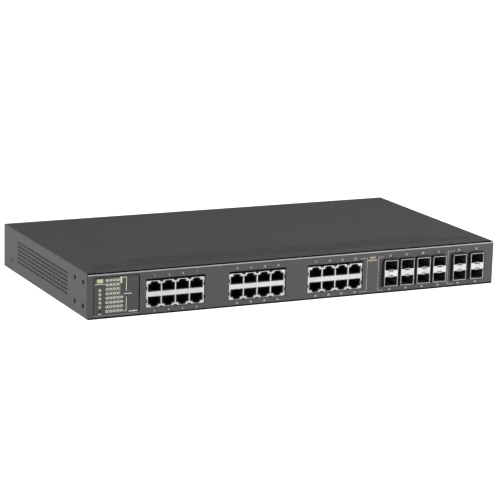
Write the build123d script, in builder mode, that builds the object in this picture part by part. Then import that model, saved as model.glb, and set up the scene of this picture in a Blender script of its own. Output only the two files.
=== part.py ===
from build123d import *
import os

os.makedirs("parts", exist_ok=True)

# A rackmount network switch, one unit high. X runs along the front, +Y from the front to the rear, +Z up.
# The origin is the middle of the footprint, on the surface that the base stands on.

# Case
WIDTH = 440.0
BODY_DEPTH = 236.0
HEIGHT = 44.0
SHEET = 1.0
BEND = 1.2
SEAM = 0.1
CAGE_PROUD = 3.0
EARTH_PROUD = 2.5
FRONT = -(BODY_DEPTH + CAGE_PROUD + EARTH_PROUD) / 2 + CAGE_PROUD
REAR = FRONT + BODY_DEPTH
COVER_INSIDE = WIDTH / 2 - SHEET
COVER_FRONT = FRONT + 1.6
COVER_LIFT = 0.1
LIP_BOTTOM = 36.0
TRAY_HALF = COVER_INSIDE - SEAM
TRAY_REAR = REAR - SHEET - SEAM
UNDERSIDE = HEIGHT - SHEET
TRAY_TOP = UNDERSIDE - SEAM
PANEL_TOP = UNDERSIDE - 0.2
PANEL_RIM, PANEL_BEND = 1.5, 0.5
BASE_FRONT = FRONT + 0.1
PRESSED_STRIP, PRESSED_DEPTH = FRONT + 12.5, 0.35
PANEL_FLANGE = 8.0
FLANGE_HEIGHT = 12.0

# Vent holes in the top and in both sides, and the rack ear holes in both sides
HOLE_RADIUS = 1.25
HOLE_PITCH_X, HOLE_PITCH_Y = 5.848, 2.294
HOLE_COLUMNS, HOLE_ROWS, SHORT_ROWS = 69, 13, 7
FIRST_ROW = FRONT + 17.9
SHORT_BEYOND = 163.0
VENT_PITCH_Y, VENT_PITCH_Z = 3.735, 4.03
VENT_COLUMNS, VENT_ROWS = 38, 6
VENT_MID = (FRONT + 124.0, 23.05)
EAR_MID = (FRONT + 23.35, 22.2)
EAR_SPACING = (21.5, 23.0)
INSERT_RADIUS, INSERT_BORE = 2.7, 1.65
TAB_HEIGHT, TAB_END = 40.0, FRONT + 44
SIDE_SCREW = (FRONT + 211.6, 11.2)
LIP_SCREWS = (-190.0, 0.0, 190.0)
LIP_SCREW_Z = 40.0
PANEL_SCREWS = (-200.0, -70.0, 70.0, 200.0)
PANEL_SCREW_Y = FRONT + 4.8

# Status label and its lights
LABEL_LEFT, LABEL_RIGHT, LABEL_BOTTOM, LABEL_TOP = -214.0, -168.5, 3.3, 39.5
LABEL_CORNER = 1.8
POCKET = 0.7
LABEL_FILM = 0.3
PORT_LIGHTS = (-201.0, 6.8)
PORT_LIGHT_PITCH = (3.7, 4.23)
SYSTEM_LIGHTS = (-208.0, 11.3)
SYSTEM_LIGHT_PITCH = 4.05
LIGHT_RADIUS = 0.8
RESET = (-207.8, 7.2)
LIGHT_BOARD_Y = FRONT + 8.2

# Blocks of eight jacks
JACK_BLOCKS = (-131.1, -45.4, 39.4)
JACK_PITCH = 14.45
JACK_COLUMNS = [(column - 1.5) * JACK_PITCH for column in range(4)]
BLOCK_WIDTH, BLOCK_BOTTOM, BLOCK_TOP, BLOCK_DEPTH = 59.6, 6.75, 32.4, 27.8
BLOCK_RECESS = 1.0
FOIL = 0.3
SHIELD_GROW = 0.75
JACK_MID = 19.5
JACK_MOUTH, JACK_KEY, JACK_LATCH = 11.9, 6.6, 4.4
MOUTH_START, MOUTH_END, KEY_END, LATCH_END = 3.05, 9.45, 11.0, 11.75
JACK_DEPTH = 14.5
CONTACT_PITCH, CONTACT_WIDTH, CONTACT_RISE = 1.02, 0.45, 1.5

# Cages, each two openings high
CAGES = (100.3, 118.9, 137.4, 155.9)
PLUS_CAGES = (179.4, 199.7)
CAGE_WIDTH, CAGE_BOTTOM, CAGE_TOP, CAGE_DEPTH = 14.8, 7.1, 33.25, 50.0
CAGE_WALL = 0.4
BAR_BOTTOM, BAR_TOP = 16.9, 23.4
LATCH_NOTCH = (5.2, 1.2)
CONNECTOR_NOSES = (12.2, 28.4)
CAGE_FRONT = FRONT - CAGE_PROUD
CHAMBER = FRONT + 38

# Openings in the front panel
JACK_CUTOUT = (60.9, 6.4, 34.8)
CAGE_CUTOUT = (17.2, 6.8, 34.9)
CUTOUT_CORNER = 2.5

# Boards
BOARD_BOTTOM, BOARD_TOP = 5.1, 6.7
MAIN_STANDOFFS = [
    (-150, FRONT + 45), (-5, FRONT + 45), (85, FRONT + 62), (205, FRONT + 58), (-85, REAR - 60),
    (-85, REAR - 12), (40, REAR - 12), (178, REAR - 12), (178, REAR - 80),
]
POWER_STANDOFFS = [(-206, -4), (-116, -4), (-206, 86), (-116, 100)]
BOARD_HOLE, STANDOFF_RADIUS = 1.6, 3.2
CHIP_AT = (45.0, -14.0)
TRANSCEIVER_Y = FRONT + 48
POWER_LEFT, POWER_RIGHT, POWER_FRONT, POWER_BACK = -212.0, -110.0, -9.0, 104.0

# Rear wall
INLET_X, INLET_Z = -165.0, 22.2
INLET_FLANGE = 2.5
CONSOLE_X = 80.0
EARTH_X, EARTH_Z = 150.0, 22.0
WASHER = 1.0

# Fans
FAN_SIZE, FAN_DEPTH, FAN_BORE = 40.0, 20.0, 19.0
FAN_HOLES = 32.0
FANS = (FRONT + 96, FRONT + 151)
FAN_Z = 22.2
FAN_FACE = TRAY_HALF - SHEET
BLADES = 7


def save(piece, name):
    """Labels a finished piece and writes it to its own file."""
    piece.part.label = name
    export_step(piece.part, f"parts/{name}.step")


def facing_front(y):
    """A plane at y that faces the front: a negative extrusion from it runs to the rear."""
    return Plane.XZ.offset(-y)


def block(x0, x1, y0, y1, z0, z1, mode=Mode.ADD):
    """A box given by its faces."""
    with Locations(((x0 + x1) / 2, (y0 + y1) / 2, (z0 + z1) / 2)):
        Box(x1 - x0, y1 - y0, z1 - z0, mode=mode)


def rod_x(x0, x1, y, z, radius, mode=Mode.ADD):
    """A round bar along X."""
    with Locations(((x0 + x1) / 2, y, z)):
        Cylinder(radius, abs(x1 - x0), rotation=(0, 90, 0), mode=mode)


def rod_y(x, y0, y1, z, radius, mode=Mode.ADD):
    """A round bar along Y."""
    with Locations((x, (y0 + y1) / 2, z)):
        Cylinder(radius, y1 - y0, rotation=(90, 0, 0), mode=mode)


def rod_z(x, y, z0, z1, radius, mode=Mode.ADD):
    """A round bar along Z."""
    with Locations((x, y, (z0 + z1) / 2)):
        Cylinder(radius, z1 - z0, mode=mode)


def port_light_places():
    """The port lights: four full columns of eight and a fifth column of four."""
    return [
        (PORT_LIGHTS[0] + column * PORT_LIGHT_PITCH[0], PORT_LIGHTS[1] + row * PORT_LIGHT_PITCH[1])
        for column in range(5)
        for row in range(4 if column == 4 else 8)
    ]


def system_light_places():
    """The system lights: one column of five above the reset hole."""
    return [(SYSTEM_LIGHTS[0], SYSTEM_LIGHTS[1] + row * SYSTEM_LIGHT_PITCH) for row in range(5)]


def perforations():
    """The staggered holes of the top, in fewer rows near both ends."""
    places = []
    for row in range(HOLE_ROWS):
        columns = HOLE_COLUMNS + row % 2
        for column in range(columns):
            x = (column - (columns - 1) / 2) * HOLE_PITCH_X
            if row < SHORT_ROWS or abs(x) < SHORT_BEYOND:
                places.append((x, FIRST_ROW + row * HOLE_PITCH_Y))
    return places


def ear_places():
    """The four rack ear holes of one side, as Y and Z."""
    return [
        (EAR_MID[0] + along * EAR_SPACING[0] / 2, EAR_MID[1] + up * EAR_SPACING[1] / 2)
        for along in (-1, 1)
        for up in (-1, 1)
    ]


def label_outline(grow):
    """Adds the status label's rounded outline to a sketch, moved out by grow all round."""
    with Locations(((LABEL_LEFT + LABEL_RIGHT) / 2, (LABEL_BOTTOM + LABEL_TOP) / 2)):
        RectangleRounded(
            LABEL_RIGHT - LABEL_LEFT + 2 * grow,
            LABEL_TOP - LABEL_BOTTOM + 2 * grow,
            LABEL_CORNER + grow,
        )


def light_holes():
    """Adds every light's round hole and the reset hole to a sketch."""
    with Locations(*port_light_places(), *system_light_places()):
        Circle(LIGHT_RADIUS)
    with Locations(RESET):
        Circle(1.0)


def jack_mouth(centre_x, centre_z, side, grow=0.0):
    """Adds one jack's stepped mouth to a sketch. side is 1 for a latch at the top and -1 for one below."""
    steps = ((JACK_MOUTH, MOUTH_END), (JACK_KEY, KEY_END), (JACK_LATCH, LATCH_END))
    for width, end in steps:
        start = MOUTH_START - grow
        with Locations((centre_x, centre_z + side * (start + end + grow) / 2)):
            Rectangle(width + 2 * grow, end + grow - start)


def jack_mouths(centre_x, grow=0.0):
    """Adds the eight mouths of a block of jacks to a sketch."""
    for column in JACK_COLUMNS:
        for side in (1, -1):
            jack_mouth(centre_x + column, JACK_MID, side, grow)


def cage_collar(centre_x, gap):
    """Adds the outline of a cage's cut-out to a sketch, moved in by gap all round."""
    width, low, high = CAGE_CUTOUT
    with BuildSketch(mode=Mode.PRIVATE) as outline:
        with Locations((centre_x, (low + high) / 2)):
            Rectangle(width - 2 * gap, high - low - 2 * gap)
        fillet(outline.vertices().group_by(Axis.Y)[-1], CUTOUT_CORNER)
    add(outline.sketch)


# Top cover: top, both sides and a rear lip, folded from one sheet
with BuildPart() as top_cover:
    block(-WIDTH / 2, WIDTH / 2, COVER_FRONT, REAR, COVER_LIFT, HEIGHT)
    fillet(top_cover.faces().sort_by(Axis.Z)[-1].edges().sort_by(Axis.Y)[1:], BEND)
    block(-COVER_INSIDE, COVER_INSIDE, COVER_FRONT - SHEET, REAR - SHEET, -SHEET, UNDERSIDE, Mode.SUBTRACT)
    block(-COVER_INSIDE, COVER_INSIDE, REAR - 2 * SHEET, REAR + SHEET, -SHEET, LIP_BOTTOM, Mode.SUBTRACT)
    for side in (-1, 1):
        slit = side * (COVER_INSIDE - 0.3)
        block(slit - 0.3, slit + 0.3, REAR - 2 * SHEET, REAR + SHEET, 0, HEIGHT - 2 * BEND, Mode.SUBTRACT)
    # The strip in front of the perforations is pressed a little lower
    block(
        -WIDTH / 2 + 8, WIDTH / 2 - 8, COVER_FRONT - SHEET, PRESSED_STRIP,
        HEIGHT - PRESSED_DEPTH, HEIGHT, Mode.SUBTRACT,
    )
    with BuildSketch(Plane.XY.offset(UNDERSIDE - SHEET)):
        with Locations(*perforations()):
            Circle(HOLE_RADIUS)
    extrude(amount=3 * SHEET, mode=Mode.SUBTRACT)
    with BuildSketch(Plane.YZ):
        with Locations(VENT_MID):
            with GridLocations(VENT_PITCH_Y, VENT_PITCH_Z, VENT_COLUMNS, VENT_ROWS):
                Circle(HOLE_RADIUS)
        with Locations(EAR_MID):
            with GridLocations(*EAR_SPACING, 2, 2):
                Circle(INSERT_RADIUS + 0.05)
    extrude(amount=WIDTH / 2, both=True, mode=Mode.SUBTRACT)
    for side in (-1, 1):
        with Locations((side * (COVER_INSIDE + SHEET / 2), *SIDE_SCREW)):
            Cone(1.65, 3.05, SHEET, rotation=(0, side * 90, 0), mode=Mode.SUBTRACT)
    for x in LIP_SCREWS:
        rod_y(x, REAR - 2 * SHEET, REAR + SHEET, LIP_SCREW_Z, 1.6, Mode.SUBTRACT)
save(top_cover, "top_cover")

# Base: bottom, rear wall and inner side flanges, folded from one sheet
with BuildPart() as chassis_base:
    block(-TRAY_HALF, TRAY_HALF, BASE_FRONT, TRAY_REAR, 0, SHEET)
    block(-WIDTH / 2 + SEAM, WIDTH / 2 - SEAM, BASE_FRONT, FRONT + PANEL_RIM, 0, SHEET)
    block(-TRAY_HALF, TRAY_HALF, TRAY_REAR - SHEET, TRAY_REAR, 0, TRAY_TOP)
    block(-TRAY_HALF, TRAY_HALF, TRAY_REAR - 11, TRAY_REAR, TRAY_TOP - SHEET, TRAY_TOP)
    for side in (-1, 1):
        inner, outer = sorted((side * FAN_FACE, side * TRAY_HALF))
        flange_front = FRONT + PANEL_FLANGE + 1
        block(inner, outer, flange_front, TRAY_REAR, 0, FLANGE_HEIGHT)
        block(inner, outer, flange_front, TAB_END, 0, TAB_HEIGHT)
        rod_x(side * FAN_FACE, side * (TRAY_HALF + 1), *SIDE_SCREW, 1.5, Mode.SUBTRACT)
    # The right flange rises behind the fans and carries them
    block(FAN_FACE, TRAY_HALF, FANS[0] - 24, FANS[1] + 24, 0, TRAY_TOP - 0.5)
    with BuildSketch(Plane.YZ.offset(FAN_FACE - 1)):
        with Locations(*[(y, FAN_Z) for y in FANS]):
            Circle(FAN_BORE - 0.5)
            with GridLocations(FAN_HOLES, FAN_HOLES, 2, 2):
                Circle(2.05)
    extrude(amount=3 * SHEET, mode=Mode.SUBTRACT)
    with BuildSketch(Plane.YZ):
        with Locations(*ear_places()):
            Circle(INSERT_RADIUS + 0.05)
    extrude(amount=WIDTH / 2, both=True, mode=Mode.SUBTRACT)
    with BuildSketch(facing_front(REAR)):
        with Locations((INLET_X, INLET_Z)):
            Rectangle(27.8, 20.2)
        with Locations((CONSOLE_X, 13.6)):
            Rectangle(16.6, 14.2)
        with Locations((EARTH_X, EARTH_Z)):
            Circle(2.1)
        with Locations(*[(x, LIP_SCREW_Z) for x in LIP_SCREWS]):
            Circle(1.6)
    extrude(amount=-3 * SHEET, both=True, mode=Mode.SUBTRACT)
    for x in PANEL_SCREWS:
        with Locations((x, PANEL_SCREW_Y, SHEET / 2)):
            Cone(2.65, 1.45, SHEET, mode=Mode.SUBTRACT)
save(chassis_base, "chassis_base")

# Front panel: a shallow folded tray with all the cut-outs and the pressed pocket of the status label
with BuildPart() as front_panel:
    block(-WIDTH / 2, WIDTH / 2, FRONT, FRONT + PANEL_RIM, SHEET, PANEL_TOP)
    fillet(front_panel.faces().sort_by(Axis.Y)[0].edges(), PANEL_BEND)
    block(-TRAY_HALF, TRAY_HALF, FRONT + SHEET, FRONT + PANEL_FLANGE, SHEET, PANEL_TOP)
    block(
        -FAN_FACE, FAN_FACE, FRONT + SHEET, FRONT + PANEL_FLANGE + 1,
        2 * SHEET, PANEL_TOP - SHEET, Mode.SUBTRACT,
    )
    with BuildSketch(facing_front(FRONT + SHEET)):
        label_outline(POCKET)
    extrude(amount=-POCKET)
    with BuildSketch(facing_front(FRONT)):
        label_outline(0)
    extrude(amount=-POCKET, mode=Mode.SUBTRACT)
    with BuildSketch(facing_front(FRONT - SHEET)):
        light_holes()
        width, low, high = JACK_CUTOUT
        with Locations(*[(x, (low + high) / 2) for x in JACK_BLOCKS]):
            Rectangle(width, high - low)
        for x in CAGES + PLUS_CAGES:
            cage_collar(x, 0)
    extrude(amount=-4 * SHEET, mode=Mode.SUBTRACT)
    for x in PANEL_SCREWS:
        rod_z(x, PANEL_SCREW_Y, 0, 3 * SHEET, 1.3, Mode.SUBTRACT)
save(front_panel, "front_panel")

# Status label: film on the pocket's floor
with BuildPart() as status_label:
    with BuildSketch(facing_front(FRONT + POCKET - LABEL_FILM)):
        label_outline(-0.15)
    extrude(amount=-LABEL_FILM)
    with BuildSketch(facing_front(FRONT)):
        light_holes()
    extrude(amount=-SHEET, mode=Mode.SUBTRACT)
save(status_label, "status_label")


def light_pipes(places, name):
    """Clear pipes from the label to the lights on their board, joined by one carrier."""
    xs = [x for x, z in places]
    zs = [z for x, z in places]
    with BuildPart() as pipes:
        block(min(xs) - 1.4, max(xs) + 1.4, FRONT + 2.4, FRONT + 4.4, min(zs) - 1.3, max(zs) + 1.3)
        with BuildSketch(facing_front(FRONT + POCKET - LABEL_FILM)) as tips:
            with Locations(*places):
                Circle(LIGHT_RADIUS - 0.08)
        extrude(tips.sketch, amount=-(7.2 - POCKET))
    save(pipes, name)


light_pipes(port_light_places(), "port_light_pipes")
light_pipes(system_light_places(), "system_light_pipes")

with BuildPart() as led_board:
    block(-215.5, -171.0, LIGHT_BOARD_Y, LIGHT_BOARD_Y + 1.6, 2.4, 40.6)
save(led_board, "led_board")

with BuildPart() as status_leds:
    with BuildSketch(facing_front(LIGHT_BOARD_Y)):
        with Locations(*port_light_places(), *system_light_places()):
            Rectangle(1.0, 1.6)
    extrude(amount=0.7)
save(status_leds, "status_leds")

# Reset switch: a body on the light board and a collared plunger that is pushed in through the pinhole
SWITCH_FRONT = LIGHT_BOARD_Y - 3.0
COLLAR = SWITCH_FRONT + 1.0
with BuildPart() as reset_switch:
    block(RESET[0] - 2.3, RESET[0] + 2.3, SWITCH_FRONT, LIGHT_BOARD_Y, RESET[1] - 2.3, RESET[1] + 2.3)
    fillet(reset_switch.edges().filter_by(Axis.Y), 0.4)
    rod_y(RESET[0], SWITCH_FRONT, SWITCH_FRONT + 2.6, RESET[1], 0.95, Mode.SUBTRACT)
    rod_y(RESET[0], COLLAR, SWITCH_FRONT + 2.6, RESET[1], 1.5, Mode.SUBTRACT)
save(reset_switch, "reset_switch")

with BuildPart() as reset_button:
    rod_y(RESET[0], FRONT + 2.6, COLLAR + 0.9, RESET[1], 0.9)
    fillet(reset_button.faces().sort_by(Axis.Y)[0].edges(), 0.3)
    rod_y(RESET[0], COLLAR + 0.05, COLLAR + 0.7, RESET[1], 1.4)
save(reset_button, "reset_button")


def jack_shield(centre_x, name):
    """Stamped shield round a block of jacks: front with eight mouths, top, bottom and both sides."""
    left, right = centre_x - BLOCK_WIDTH / 2, centre_x + BLOCK_WIDTH / 2
    front = FRONT + BLOCK_RECESS
    with BuildPart() as shield:
        block(left, right, front, front + BLOCK_DEPTH, BLOCK_BOTTOM, BLOCK_TOP)
        block(
            left + FOIL, right - FOIL, front + FOIL, front + BLOCK_DEPTH + 1,
            BLOCK_BOTTOM + FOIL, BLOCK_TOP - FOIL, Mode.SUBTRACT,
        )
        with BuildSketch(facing_front(front - 1)) as openings:
            jack_mouths(centre_x, SHIELD_GROW)
            # Relief notches between the mouths, and two in each side edge
            for x in (-JACK_PITCH, 0, JACK_PITCH):
                with Locations((centre_x + x, BLOCK_TOP)):
                    SlotOverall(4.0, 3.2)
                with Locations((centre_x + x, BLOCK_BOTTOM)):
                    SlotOverall(4.0, 2.0)
            for x in (left, right):
                with Locations((x, JACK_MID + 6), (x, JACK_MID - 6.5)):
                    Rectangle(1.8, 3.5)
        extrude(openings.sketch, amount=-(1 + FOIL), mode=Mode.SUBTRACT)
    save(shield, name)


def jack_housing(centre_x, name):
    """Moulded body behind a shield, with eight cavities."""
    half = BLOCK_WIDTH / 2 - FOIL - 0.05
    front = FRONT + BLOCK_RECESS + FOIL + 0.05
    back = FRONT + BLOCK_RECESS + BLOCK_DEPTH
    with BuildPart() as housing:
        block(
            centre_x - half, centre_x + half, front, back,
            BLOCK_BOTTOM + FOIL + 0.05, BLOCK_TOP - FOIL - 0.05,
        )
        with BuildSketch(facing_front(front)) as cavities:
            jack_mouths(centre_x)
        extrude(cavities.sketch, amount=-JACK_DEPTH, mode=Mode.SUBTRACT)
    save(housing, name)


for number, centre_x in enumerate(JACK_BLOCKS, 1):
    jack_shield(centre_x, f"rj45_shield_{number}")
    jack_housing(centre_x, f"rj45_housing_{number}")


def sprung_contacts(mouth_x, side):
    """Sketches the eight sloping wires of one jack, each in its own plane."""
    root = JACK_MID + side * (MOUTH_START + 0.1)
    tip = root + side * CONTACT_RISE
    for lane in range(8):
        x = mouth_x + (lane - 3.5) * CONTACT_PITCH - CONTACT_WIDTH / 2
        with BuildSketch(Plane.YZ.offset(x), mode=Mode.PRIVATE) as wire:
            Polygon(
                (FRONT + 5.0, root), (FRONT + 5.6, root), (FRONT + 14.2, tip), (FRONT + 14.2, tip + side * 0.35),
                align=None,
            )
        wires.append(wire.sketch)


wires = []
for block_x in JACK_BLOCKS:
    for column in JACK_COLUMNS:
        sprung_contacts(block_x + column, 1)
        sprung_contacts(block_x + column, -1)
with BuildPart() as rj45_contacts:
    extrude([face for wire in wires for face in wire.faces()], amount=CONTACT_WIDTH)
save(rj45_contacts, "rj45_contacts")


def cage(centre_x, name):
    """Two-high cage: thin walls, a front bar with latch notches, and a rear chamber for the connector."""
    half = CAGE_WIDTH / 2
    inner = half - CAGE_WALL
    back = CAGE_FRONT + CAGE_DEPTH
    with BuildPart() as shell:
        block(centre_x - half, centre_x + half, CAGE_FRONT, back, CAGE_BOTTOM, CAGE_TOP)
        fillet(shell.edges().filter_by(Axis.Y), 0.45)
        chambers = (
            (CAGE_FRONT - 1, BAR_TOP, CAGE_TOP - CAGE_WALL),
            (CAGE_FRONT - 1, CAGE_BOTTOM + CAGE_WALL, BAR_BOTTOM),
            (CAGE_FRONT + CAGE_WALL, BAR_BOTTOM + CAGE_WALL, BAR_TOP - CAGE_WALL),
        )
        for start, low, high in chambers:
            block(centre_x - inner, centre_x + inner, start, CHAMBER + 1, low, high, Mode.SUBTRACT)
        block(
            centre_x - inner, centre_x + inner, CHAMBER, back - CAGE_WALL,
            CAGE_BOTTOM + CAGE_WALL, CAGE_TOP - CAGE_WALL, Mode.SUBTRACT,
        )
        width, height = LATCH_NOTCH
        for low in (BAR_BOTTOM, BAR_TOP - height):
            block(
                centre_x - width / 2, centre_x + width / 2, CAGE_FRONT - 1, CAGE_FRONT + 1,
                low, low + height, Mode.SUBTRACT,
            )
    save(shell, name)


def cage_connector(centre_x, name):
    """Edge connector in the rear chamber, with one nose for each of the two modules."""
    with BuildPart() as connector:
        block(
            centre_x - 6.9, centre_x + 6.9, CHAMBER + 0.1, CAGE_FRONT + CAGE_DEPTH - CAGE_WALL - 0.1,
            CAGE_BOTTOM + CAGE_WALL + 0.1, CAGE_TOP - CAGE_WALL - 0.1,
        )
        for z in CONNECTOR_NOSES:
            block(centre_x - 5.6, centre_x + 5.6, CHAMBER - 5, CHAMBER + 0.1, z - 2.2, z + 2.2)
            block(centre_x - 4.6, centre_x + 4.6, CHAMBER - 6, CHAMBER + 1, z - 0.6, z + 0.6, Mode.SUBTRACT)
    save(connector, name)


for number, centre_x in enumerate(CAGES, 1):
    cage(centre_x, f"sfp_cage_{number}")
    cage_connector(centre_x, f"sfp_connector_{number}")
for number, centre_x in enumerate(PLUS_CAGES, 1):
    cage(centre_x, f"sfp_plus_cage_{number}")
    cage_connector(centre_x, f"sfp_plus_connector_{number}")

# Black collars that close the gap between each cage and the panel
with BuildPart() as cage_gaskets:
    with BuildSketch(facing_front(CAGE_FRONT + 0.4)):
        for x in CAGES + PLUS_CAGES:
            cage_collar(x, 0.1)
        with Locations(*[(x, (CAGE_BOTTOM + CAGE_TOP) / 2) for x in CAGES + PLUS_CAGES]):
            Rectangle(CAGE_WIDTH + 0.1, CAGE_TOP - CAGE_BOTTOM + 0.1, mode=Mode.SUBTRACT)
    extrude(amount=-(CAGE_PROUD - 0.4 + SHEET))
save(cage_gaskets, "cage_gaskets")

# Main board, stepped round the light board in front, the power supply on the left and the fans on the right
with BuildPart() as main_board:
    with BuildSketch(Plane.XY.offset(BOARD_BOTTOM)):
        Polygon(
            (-213, FRONT + 12), (-166, FRONT + 12), (-166, FRONT + 2.5), (213, FRONT + 2.5),
            (213, FRONT + 68), (188, FRONT + 68), (188, REAR - 4), (-98, REAR - 4),
            (-98, FRONT + 98), (-213, FRONT + 98),
            align=None,
        )
        with Locations(*MAIN_STANDOFFS):
            Circle(BOARD_HOLE, mode=Mode.SUBTRACT)
    extrude(amount=BOARD_TOP - BOARD_BOTTOM)
save(main_board, "main_board")

with BuildPart() as switch_chip:
    block(CHIP_AT[0] - 14, CHIP_AT[0] + 14, CHIP_AT[1] - 14, CHIP_AT[1] + 14, BOARD_TOP, BOARD_TOP + 2.3)
    chamfer(switch_chip.faces().sort_by(Axis.Z)[-1].edges(), 0.4)
save(switch_chip, "switch_chip")


def finned(x, y, side, base, bottom, top, fins):
    """A square heatsink: a base plate with upright fins along Y."""
    block(x - side / 2, x + side / 2, y - side / 2, y + side / 2, bottom, bottom + base)
    pitch = (side - 1.2) / (fins - 1)
    for fin in range(fins):
        left = x - side / 2 + fin * pitch
        block(left, left + 1.2, y - side / 2, y + side / 2, bottom + base, top)


with BuildPart() as switch_heatsink:
    finned(*CHIP_AT, 46, 3, BOARD_TOP + 2.3, 30, 10)
save(switch_heatsink, "switch_heatsink")

with BuildPart() as phy_chips:
    for x in JACK_BLOCKS:
        block(x - 8, x + 8, TRANSCEIVER_Y - 8, TRANSCEIVER_Y + 8, BOARD_TOP, BOARD_TOP + 1.6)
save(phy_chips, "phy_chips")

with BuildPart() as phy_heatsinks:
    for x in JACK_BLOCKS:
        finned(x, TRANSCEIVER_Y, 20, 2, BOARD_TOP + 1.6, 18, 6)
save(phy_heatsinks, "phy_heatsinks")

with BuildPart() as memory_chips:
    for x, y in ((-20, -20), (-20, 2), (100, -30), (110, 10)):
        block(x - 5, x + 5, y - 7, y + 7, BOARD_TOP, BOARD_TOP + 1.2)
save(memory_chips, "memory_chips")

with BuildPart() as board_inductors:
    for x, y in ((-60, 30), (-60, 42), (-60, 54), (130, -20), (142, -20), (154, -20)):
        block(x - 4, x + 4, y - 4, y + 4, BOARD_TOP, BOARD_TOP + 4.5)
    fillet(board_inductors.edges().filter_by(Axis.Z), 1.0)
save(board_inductors, "board_inductors")

with BuildPart() as board_capacitors:
    for x, y in ((-72, 30), (-72, 42), (-72, 54), (130, -6), (142, -6), (154, -6), (10, 40), (22, 40)):
        rod_z(x, y, BOARD_TOP, BOARD_TOP + 8.5, 4.0)
    fillet(board_capacitors.faces().group_by(Axis.Z)[-1].edges(), 0.6)
save(board_capacitors, "board_capacitors")

# Mains power supply on its own board
with BuildPart() as power_board:
    with BuildSketch(Plane.XY.offset(BOARD_BOTTOM)):
        with Locations(((POWER_LEFT + POWER_RIGHT) / 2, (POWER_FRONT + POWER_BACK) / 2)):
            Rectangle(POWER_RIGHT - POWER_LEFT, POWER_BACK - POWER_FRONT)
        with Locations(*POWER_STANDOFFS):
            Circle(BOARD_HOLE, mode=Mode.SUBTRACT)
    extrude(amount=BOARD_TOP - BOARD_BOTTOM)
save(power_board, "power_board")

with BuildPart() as power_transformer:
    block(-160, -132, 30, 58, BOARD_TOP, BOARD_TOP + 25)
    block(-164, -128, 36, 52, BOARD_TOP + 4, BOARD_TOP + 21)
    block(-158, -134, 26, 62, BOARD_TOP, BOARD_TOP + 4)
save(power_transformer, "power_transformer")

with BuildPart() as bulk_capacitor:
    rod_z(-192, 44, BOARD_TOP, BOARD_TOP + 30, 10.0)
    fillet(bulk_capacitor.faces().sort_by(Axis.Z)[-1].edges(), 1.2)
save(bulk_capacitor, "bulk_capacitor")

with BuildPart() as power_heatsinks:
    for y in (24, 64):
        block(-180, -122, y - 1, y + 1, BOARD_TOP, BOARD_TOP + 27)
        block(-180, -122, y - 1, y + 7, BOARD_TOP + 25, BOARD_TOP + 27)
save(power_heatsinks, "power_heatsinks")

with BuildPart() as output_capacitors:
    for x in (-160, -147, -134):
        rod_z(x, 10, BOARD_TOP, BOARD_TOP + 20, 5.0)
    fillet(output_capacitors.faces().group_by(Axis.Z)[-1].edges(), 0.8)
save(output_capacitors, "output_capacitors")

with BuildPart() as power_insulator:
    block(POWER_LEFT - 2, POWER_RIGHT + 2, POWER_FRONT - 2, POWER_BACK + 2, SHEET, SHEET + 0.4)
    block(POWER_RIGHT + 1.6, POWER_RIGHT + 2, POWER_FRONT + 12, POWER_BACK + 2, SHEET, 16)
    for x, y in POWER_STANDOFFS:
        rod_z(x, y, 0, 2 * SHEET, STANDOFF_RADIUS + 0.4, Mode.SUBTRACT)
save(power_insulator, "power_insulator")

# Mains inlet in the rear wall
INLET_MOUTH = TRAY_REAR + INLET_FLANGE
INLET_FLOOR = INLET_MOUTH - 16.5
INLET_BACK = TRAY_REAR - 22
PIN_PLACES = ((INLET_X - 7, INLET_Z - 4), (INLET_X, INLET_Z + 4), (INLET_X + 7, INLET_Z - 4))
with BuildPart() as power_inlet:
    block(INLET_X - 15.5, INLET_X + 15.5, TRAY_REAR, INLET_MOUTH, INLET_Z - 12, INLET_Z + 12)
    fillet(power_inlet.edges().filter_by(Axis.Y), 2.0)
    block(INLET_X - 13.7, INLET_X + 13.7, INLET_BACK, TRAY_REAR, INLET_Z - 9.9, INLET_Z + 9.9)
    with BuildSketch(facing_front(INLET_FLOOR)) as cavity:
        with Locations((INLET_X, INLET_Z)):
            Rectangle(24.4, 16.4)
        chamfer(cavity.vertices().group_by(Axis.Y)[-1], 4.0)
    extrude(amount=-20, mode=Mode.SUBTRACT)
    for x, z in PIN_PLACES:
        block(x - 1.05, x + 1.05, INLET_BACK - 1, INLET_FLOOR + 1, z - 2.05, z + 2.05, Mode.SUBTRACT)
save(power_inlet, "power_inlet")

with BuildPart() as inlet_pins:
    for x, z in PIN_PLACES:
        block(x - 1, x + 1, INLET_BACK - 8, INLET_MOUTH - 1.5, z - 2, z + 2)
save(inlet_pins, "inlet_pins")

# Short leads that stay inside the case, each end in its connector
LEAD_RADIUS = 1.1
HEADER_TOP = BOARD_TOP + 7
with BuildPart() as inlet_leads:
    header_y = INLET_BACK - 20
    block(INLET_X - 9.5, INLET_X + 9.5, header_y - 4, header_y + 4, BOARD_TOP, HEADER_TOP)
    for x, z in PIN_PLACES:
        with BuildLine() as route:
            FilletPolyline((x, INLET_BACK - 8, z), (x, header_y, z), (x, header_y, HEADER_TOP), radius=4.4)
        with BuildSketch(Plane(route.line @ 0, z_dir=route.line % 0)):
            Circle(LEAD_RADIUS)
        sweep()
save(inlet_leads, "inlet_leads")

HARNESS_LEFT, HARNESS_RIGHT = -116.0, -88.0
with BuildPart() as output_harness:
    for x in (HARNESS_LEFT, HARNESS_RIGHT):
        block(x - 4, x + 4, 24, 42, BOARD_TOP, HEADER_TOP)
    for y in (27, 31, 35, 39):
        with BuildLine() as route:
            FilletPolyline(
                (HARNESS_LEFT, y, HEADER_TOP), (HARNESS_LEFT, y, 24),
                (HARNESS_RIGHT, y, 24), (HARNESS_RIGHT, y, HEADER_TOP), radius=5,
            )
        with BuildSketch(Plane(route.line @ 0, z_dir=route.line % 0)):
            Circle(LEAD_RADIUS)
        sweep()
save(output_harness, "output_harness")

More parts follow.
